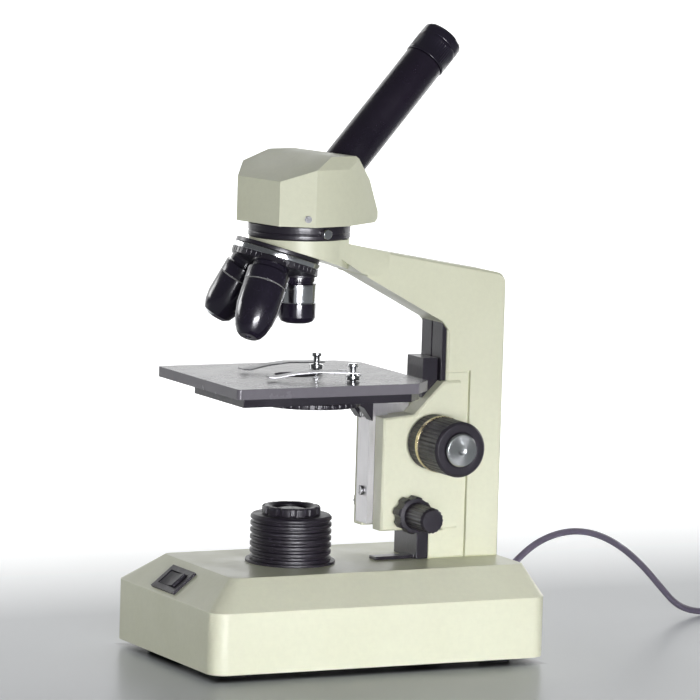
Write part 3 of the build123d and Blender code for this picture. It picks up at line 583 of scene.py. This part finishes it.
for s, nm, ye in ((-1, "right", 56.0), (1, "left", 47.0)):
    og, dr = (53, 0, 126), (0, s, 0)
    f = lathe("coarse_grip_" + nm, [(4.02, 19.8), (15.4, 19.8), (16.2, 20.6), (16.2, 20.85), (16.2, 21.0), (16.2, 29.3), (16.2, 29.5), (16.2, 30.0), (14.6, 30.0), (14.6, 33.0), (16.2, 33.0),
                                    (16.2, 33.9), (16.2, 34.1), (16.2, ye - 1.8), (16.2, ye - 1.3), (14.8, ye), (10.6, ye), (9.9, ye - 0.6), (9.9, ye - 1.5), (4.02, ye - 1.5)],
              og, dr, [BLACKP], 288, 0.18, mod=coarse_mod(ye), body="coarse_knobs", closed=True)
    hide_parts("coarse_knob_" + nm)
    f = lathe("coarse_band_" + nm, [(14.6, 30.0), (16.4, 30.0), (16.6, 30.2), (16.6, 31.3), (16.4, 31.5), (16.6, 31.7), (16.6, 32.8), (16.4, 33.0), (14.6, 33.0)], og, dr, [BRASS], 160, 0.08,
              body="coarse_knobs", closed=True)
    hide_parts("coarse_knob_rings")
    f = lathe("coarse_cap_" + nm, [(0, ye - 1.4), (9.8, ye - 1.4), (9.8, ye + 1.2), (9.0, ye + 2), (2.6, ye + 2), (1.9, ye + 1.5), (0, ye + 1.3)], og, dr, [TURN_Y], 128, 0.2,
              body="coarse_knobs")
    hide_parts("coarse_knob_caps")


def fine_mod(a, h, r):
    if h < 28.3 and r > 9.0:
        d = abs(((a - math.radians(10)) / (2 * math.pi) * 8 + 0.5) % 1.0 - 0.5) * 2 * math.pi / 8 * 11.0
        return -max(0.0, math.sqrt(max(0.0, 2.9 ** 2 - d * d)) - 1.45) * min(1.0, (r - 9.0) / 1.0)
    if 30.5 < h and r > 7.4:
        return -0.38 * (0.5 - 0.5 * math.cos(18 * a)) ** 2
    return 0.0


for s, nm, fe in ((-1, "right", 50.0), (1, "left", 40.0)):
    f = lathe("fine_grip_" + nm, [(3.02, 19.5), (10.4, 19.5), (11, 20.1), (11, 27.5), (10, 28.5), (7.9, 28.7), (7.5, 29.2), (7.5, 30.3), (7.5, 30.7), (7.5, fe - 2.1), (7.5, fe - 1.7), (6.3, fe), (0, fe)],
              (39.5, 0, 84), (0, s, 0), [BLACKP], 240, 0.12, mod=fine_mod, body="fine_knobs")
    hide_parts("fine_knob_" + nm)

for px, py, nm in ((-7.0, -33.5, "right"), (-5.0, 18.0, "left")):
    f = lathe("stage_post_" + nm, [(0, 158.5), (2.0, 158.5), (2.0, 166.1), (4.0, 166.1), (4.0, 168.6), (2.0, 168.8), (2.0, 173.4), (2.9, 173.5), (2.9, 175.1), (2.4, 175.5), (0, 175.5)],
              (px, py, 0), A_Z, [CHROME], 64, 0.15, mod=knurl(20, 0.2, 166.4, 168.3, 3.6), body="clip_" + nm)
    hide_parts("clip_post_" + nm)

# ------------------------------------------------------------------ floor, backdrop, lights
fm, ft, fb = nt("m_floor")
fv = coords(ft)
tone = ramp(ft, noise(ft, fv, 3.0, 3), [(0.3, (0.52, 0.545, 0.56)), (0.7, (0.56, 0.585, 0.60))])
ft.links.new(ramp(ft, noise(ft, fv, 9.0, 3), [(0.3, grey(0.30)), (0.7, grey(0.315))]), fb.inputs["Roughness"])
sx_ = ft.nodes.new("ShaderNodeSeparateXYZ")
ft.links.new(fv, sx_.inputs[0])
# painted shade: the table is painted near-black under the base's footprint, fading out 1 mm beyond its edge, standing
# in for the shade in the gap beneath the low plinth
over = maths(ft, "MAXIMUM", maths(ft, "SUBTRACT", maths(ft, "ABSOLUTE", sx_.outputs[0]), 0.1075), maths(ft, "SUBTRACT", maths(ft, "ABSOLUTE", sx_.outputs[1]), 0.069))
painted_shade_under_base = ft.nodes.new("ShaderNodeMapRange")
painted_shade_under_base.inputs["From Min"].default_value, painted_shade_under_base.inputs["From Max"].default_value = -0.006, 0.001
painted_shade_under_base.inputs["To Min"].default_value, painted_shade_under_base.inputs["To Max"].default_value = 1.0, 0.0
ft.links.new(over, painted_shade_under_base.inputs["Value"])
ft.links.new(mix(ft, painted_shade_under_base.outputs[0], tone, (0.03, 0.03, 0.03)), fb.inputs["Base Color"])
mx = ft.nodes.new("ShaderNodeMapRange")
mx.inputs["From Min"].default_value, mx.inputs["From Max"].default_value = -0.55, -0.25
ft.links.new(sx_.outputs[0], mx.inputs["Value"])
my = ft.nodes.new("ShaderNodeMapRange")
my.inputs["From Min"].default_value, my.inputs["From Max"].default_value = 0.16, 0.55
ft.links.new(sx_.outputs[1], my.inputs["Value"])
fb.inputs["Emission Color"].default_value = (1.0, 1.0, 0.99, 1)
ft.links.new(maths(ft, "MULTIPLY", maths(ft, "MULTIPLY", mx.outputs[0], my.outputs[0]), 0.85), fb.inputs["Emission Strength"])
R = 13.0
N = 40
fl = mesh_obj("floor", [(-R + 2 * R * i / N, -R + 2 * R * j / N, 0.0) for j in range(N + 1) for i in range(N + 1)],
              [[j * (N + 1) + i, j * (N + 1) + i + 1, (j + 1) * (N + 1) + i + 1, (j + 1) * (N + 1) + i] for j in range(N) for i in range(N)], [fm])
bm_, bt, bb = nt("m_backdrop")
bt.links.new(ramp(bt, noise(bt, coords(bt), 0.6, 2), [(0.3, (0.96, 0.96, 0.96)), (0.7, (1.0, 1.0, 1.0))]), bb.inputs["Emission Color"])
bb.inputs["Emission Strength"].default_value = 1.05
bb.inputs["Base Color"].default_value = (0.8, 0.8, 0.8, 1)
bd = mesh_obj("backdrop", [(2.45 * (6.9 * i / 12 - 2.0), 2.45 * (3.4 + 0.25 * math.sin(math.pi * i / 12)), 2.45 * 2.6 * j / 6) for j in range(7) for i in range(13)],
              [[j * 13 + i, j * 13 + i + 1, (j + 1) * 13 + i + 1, (j + 1) * 13 + i] for j in range(6) for i in range(12)], [bm_])

w = bpy.data.worlds.new("world")
scene.world = w
w.use_nodes = True
w.node_tree.nodes["Background"].inputs[0].default_value = (0.93, 0.97, 1.0, 1)
w.node_tree.nodes["Background"].inputs[1].default_value = 0.11


def softbox(name, az, elev, dist, sx, sy, power, color, aim=(0.0, 0.0, 0.16)):
    ld = bpy.data.lights.new(name, "AREA")
    ld.shape = "RECTANGLE"
    ld.size, ld.size_y, ld.energy, ld.color = sx, sy, power, color
    o = bpy.data.objects.new(name, ld)
    scene.collection.objects.link(o)
    a, e = math.radians(az), math.radians(elev)
    p = Vector(aim) + Vector((math.cos(a) * math.cos(e), math.sin(a) * math.cos(e), math.sin(e))) * dist
    o.location = p
    o.rotation_euler = (Vector(aim) - p).to_track_quat("-Z", "Y").to_euler()
    return o


softbox("key", 256, 4.5, 3.0, 1.3, 0.5, 66, (1.0, 1.0, 1.05), (0.0, 0.0, 0.05))
kick = softbox("low_kick", 268, 3.0, 1.6, 0.5, 0.14, 0.13, (1.0, 1.0, 1.08), (0.0, -0.069, 0.02))
kick.data.spread = math.radians(16)
softbox("rim", 38, 45, 2.8, 1.0, 1.2, 7, (1.0, 1.0, 1.0))
softbox("back_right", 22, 13, 2.9, 1.1, 0.7, 14, (1.0, 1.0, 1.0))
softbox("back_left", 128, 13, 2.9, 1.1, 0.7, 14, (1.0, 1.0, 1.0))
